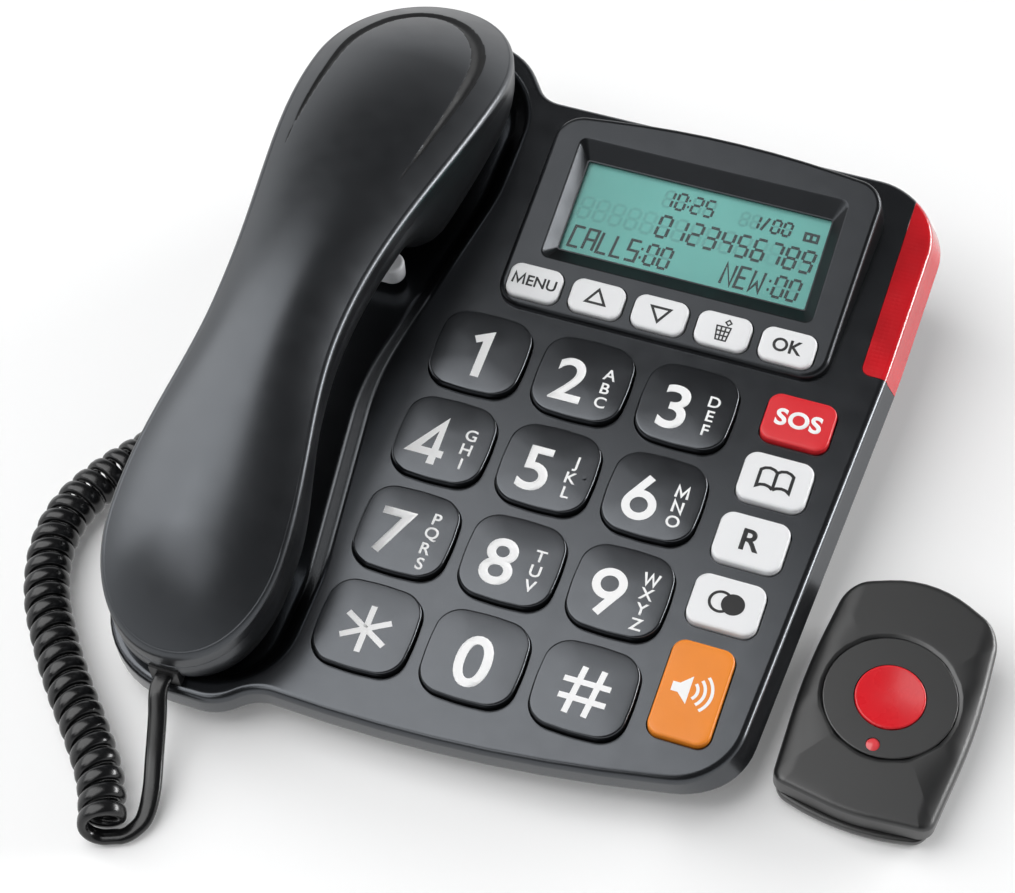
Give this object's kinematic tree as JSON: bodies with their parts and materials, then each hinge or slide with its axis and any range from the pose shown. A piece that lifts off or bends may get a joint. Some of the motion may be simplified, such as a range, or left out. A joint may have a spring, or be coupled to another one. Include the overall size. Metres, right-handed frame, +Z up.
{
  "type": "telephone with sos button",
  "caption": "Corded desk telephone with large number keys, sloping display, call light and SOS key, curly handset cord and a radio SOS pendant with a red button.",
  "frame": {"origin": "middle of the set at desk level: telephone and pendant together, cord left out", "axes": "+X to the right of the user, +Y away from the user, +Z up"},
  "size_m": [0.2466, 0.2586, 0.0764],
  "materials": {
    "housing": "satin",
    "clear_window": "clear",
    "display": "matte",
    "board": "satin",
    "soft_rubber": "matte",
    "red_lens": "gloss",
    "inner_plastic": "matte",
    "pale_plastic": "satin",
    "steel": "satin",
    "cell": "gloss",
    "dark_key": "satin",
    "silver_key": "satin",
    "red_key": "satin",
    "orange_key": "satin",
    "cord_jacket": "gloss"
  },
  "bodies": {
    "base": {"top_cover": "housing", "bottom_cover": "housing", "display_bezel": "housing", "display_window": "clear_window", "lcd_panel": "display", "display_board": "board", "menu_mat": "soft_rubber", "alert_lens": "red_lens", "alert_board": "board", "main_board": "board", "key_mat": "soft_rubber", "loudspeaker": "inner_plastic", "hook_switch": "inner_plastic", "line_jack": "pale_plastic", "handset_jack": "pale_plastic", "rubber_feet": "soft_rubber", "case_screws": "steel", "battery_door": "housing", "battery_cells": "cell", "cord_curly": "cord_jacket", "base_plug": "cord_jacket"},
    "handset": {"handset_back": "housing", "handset_front": "housing", "receiver_capsule": "inner_plastic", "mic_capsule": "steel", "handset_weight": "steel", "handset_socket": "inner_plastic", "handset_plug": "cord_jacket", "cord_lead": "cord_jacket"},
    "hook": {"hook_lever": "pale_plastic"},
    "pendant": {"pendant_top": "housing", "pendant_bottom": "housing", "pendant_face": "housing", "pendant_lamp": "red_lens", "pendant_board": "board", "pendant_battery": "steel"},
    "pendant_button": {"pendant_button": "red_key"},
    "key_1": {"key_1": "dark_key"},
    "key_2": {"key_2": "dark_key"},
    "key_3": {"key_3": "dark_key"},
    "key_4": {"key_4": "dark_key"},
    "key_5": {"key_5": "dark_key"},
    "key_6": {"key_6": "dark_key"},
    "key_7": {"key_7": "dark_key"},
    "key_8": {"key_8": "dark_key"},
    "key_9": {"key_9": "dark_key"},
    "key_star": {"key_star": "dark_key"},
    "key_0": {"key_0": "dark_key"},
    "key_hash": {"key_hash": "dark_key"},
    "key_sos": {"key_sos": "red_key"},
    "key_phonebook": {"key_phonebook": "silver_key"},
    "key_recall": {"key_recall": "silver_key"},
    "key_redial": {"key_redial": "silver_key"},
    "key_speaker": {"key_speaker": "orange_key"},
    "key_menu": {"key_menu": "silver_key"},
    "key_up": {"key_up": "silver_key"},
    "key_down": {"key_down": "silver_key"},
    "key_delete": {"key_delete": "silver_key"},
    "key_ok": {"key_ok": "silver_key"}
  },
  "joints": [
    {"name": "handset_lift", "type": "slide", "parent": "base", "child": "handset", "axis": [0, -0.1392, 0.9903], "range_m": [0, 0.1]},
    {"name": "hook_rise", "type": "slide", "parent": "base", "child": "hook", "axis": [0, -0.1392, 0.9903], "range_m": [0, 0.004]},
    {"name": "pendant_lift", "type": "slide", "parent": "base", "child": "pendant", "axis": [0, 0, 1], "range_m": [0, 0.1]},
    {"name": "pendant_press", "type": "slide", "parent": "pendant", "child": "pendant_button", "axis": [0.0082, 0.1303, -0.9914], "range_m": [0, 0.0008], "stiffness_N_per_m": 500, "springref_m": -0.0006},
    {"name": "key_1_press", "type": "slide", "parent": "base", "child": "key_1", "axis": [0, 0.1392, -0.9903], "range_m": [0, 0.0015], "stiffness_N_per_m": 300, "springref_m": -0.001},
    {"name": "key_2_press", "type": "slide", "parent": "base", "child": "key_2", "axis": [0, 0.1392, -0.9903], "range_m": [0, 0.0015], "stiffness_N_per_m": 300, "springref_m": -0.001},
    {"name": "key_3_press", "type": "slide", "parent": "base", "child": "key_3", "axis": [0, 0.1392, -0.9903], "range_m": [0, 0.0015], "stiffness_N_per_m": 300, "springref_m": -0.001},
    {"name": "key_4_press", "type": "slide", "parent": "base", "child": "key_4", "axis": [0, 0.1392, -0.9903], "range_m": [0, 0.0015], "stiffness_N_per_m": 300, "springref_m": -0.001},
    {"name": "key_5_press", "type": "slide", "parent": "base", "child": "key_5", "axis": [0, 0.1392, -0.9903], "range_m": [0, 0.0015], "stiffness_N_per_m": 300, "springref_m": -0.001},
    {"name": "key_6_press", "type": "slide", "parent": "base", "child": "key_6", "axis": [0, 0.1392, -0.9903], "range_m": [0, 0.0015], "stiffness_N_per_m": 300, "springref_m": -0.001},
    {"name": "key_7_press", "type": "slide", "parent": "base", "child": "key_7", "axis": [0, 0.1392, -0.9903], "range_m": [0, 0.0015], "stiffness_N_per_m": 300, "springref_m": -0.001},
    {"name": "key_8_press", "type": "slide", "parent": "base", "child": "key_8", "axis": [0, 0.1392, -0.9903], "range_m": [0, 0.0015], "stiffness_N_per_m": 300, "springref_m": -0.001},
    {"name": "key_9_press", "type": "slide", "parent": "base", "child": "key_9", "axis": [0, 0.1392, -0.9903], "range_m": [0, 0.0015], "stiffness_N_per_m": 300, "springref_m": -0.001},
    {"name": "key_star_press", "type": "slide", "parent": "base", "child": "key_star", "axis": [0, 0.1392, -0.9903], "range_m": [0, 0.0015], "stiffness_N_per_m": 300, "springref_m": -0.001},
    {"name": "key_0_press", "type": "slide", "parent": "base", "child": "key_0", "axis": [0, 0.1392, -0.9903], "range_m": [0, 0.0015], "stiffness_N_per_m": 300, "springref_m": -0.001},
    {"name": "key_hash_press", "type": "slide", "parent": "base", "child": "key_hash", "axis": [0, 0.1392, -0.9903], "range_m": [0, 0.0015], "stiffness_N_per_m": 300, "springref_m": -0.001},
    {"name": "key_sos_press", "type": "slide", "parent": "base", "child": "key_sos", "axis": [0, 0.1392, -0.9903], "range_m": [0, 0.0015], "stiffness_N_per_m": 300, "springref_m": -0.001},
    {"name": "key_phonebook_press", "type": "slide", "parent": "base", "child": "key_phonebook", "axis": [0, 0.1392, -0.9903], "range_m": [0, 0.0015], "stiffness_N_per_m": 300, "springref_m": -0.001},
    {"name": "key_recall_press", "type": "slide", "parent": "base", "child": "key_recall", "axis": [0, 0.1392, -0.9903], "range_m": [0, 0.0015], "stiffness_N_per_m": 300, "springref_m": -0.001},
    {"name": "key_redial_press", "type": "slide", "parent": "base", "child": "key_redial", "axis": [0, 0.1392, -0.9903], "range_m": [0, 0.0015], "stiffness_N_per_m": 300, "springref_m": -0.001},
    {"name": "key_speaker_press", "type": "slide", "parent": "base", "child": "key_speaker", "axis": [0, 0.1392, -0.9903], "range_m": [0, 0.0015], "stiffness_N_per_m": 300, "springref_m": -0.001},
    {"name": "key_menu_press", "type": "slide", "parent": "base", "child": "key_menu", "axis": [0, 0.3024, -0.9532], "range_m": [0, 0.0012], "stiffness_N_per_m": 300, "springref_m": -0.001},
    {"name": "key_up_press", "type": "slide", "parent": "base", "child": "key_up", "axis": [0, 0.3024, -0.9532], "range_m": [0, 0.0012], "stiffness_N_per_m": 300, "springref_m": -0.001},
    {"name": "key_down_press", "type": "slide", "parent": "base", "child": "key_down", "axis": [0, 0.3024, -0.9532], "range_m": [0, 0.0012], "stiffness_N_per_m": 300, "springref_m": -0.001},
    {"name": "key_delete_press", "type": "slide", "parent": "base", "child": "key_delete", "axis": [0, 0.3024, -0.9532], "range_m": [0, 0.0012], "stiffness_N_per_m": 300, "springref_m": -0.001},
    {"name": "key_ok_press", "type": "slide", "parent": "base", "child": "key_ok", "axis": [0, 0.3024, -0.9532], "range_m": [0, 0.0012], "stiffness_N_per_m": 300, "springref_m": -0.001}
  ],
  "couplings": [
    {"joint": "hook_rise", "follows": "handset_lift", "ratio": 0.04}
  ]
}
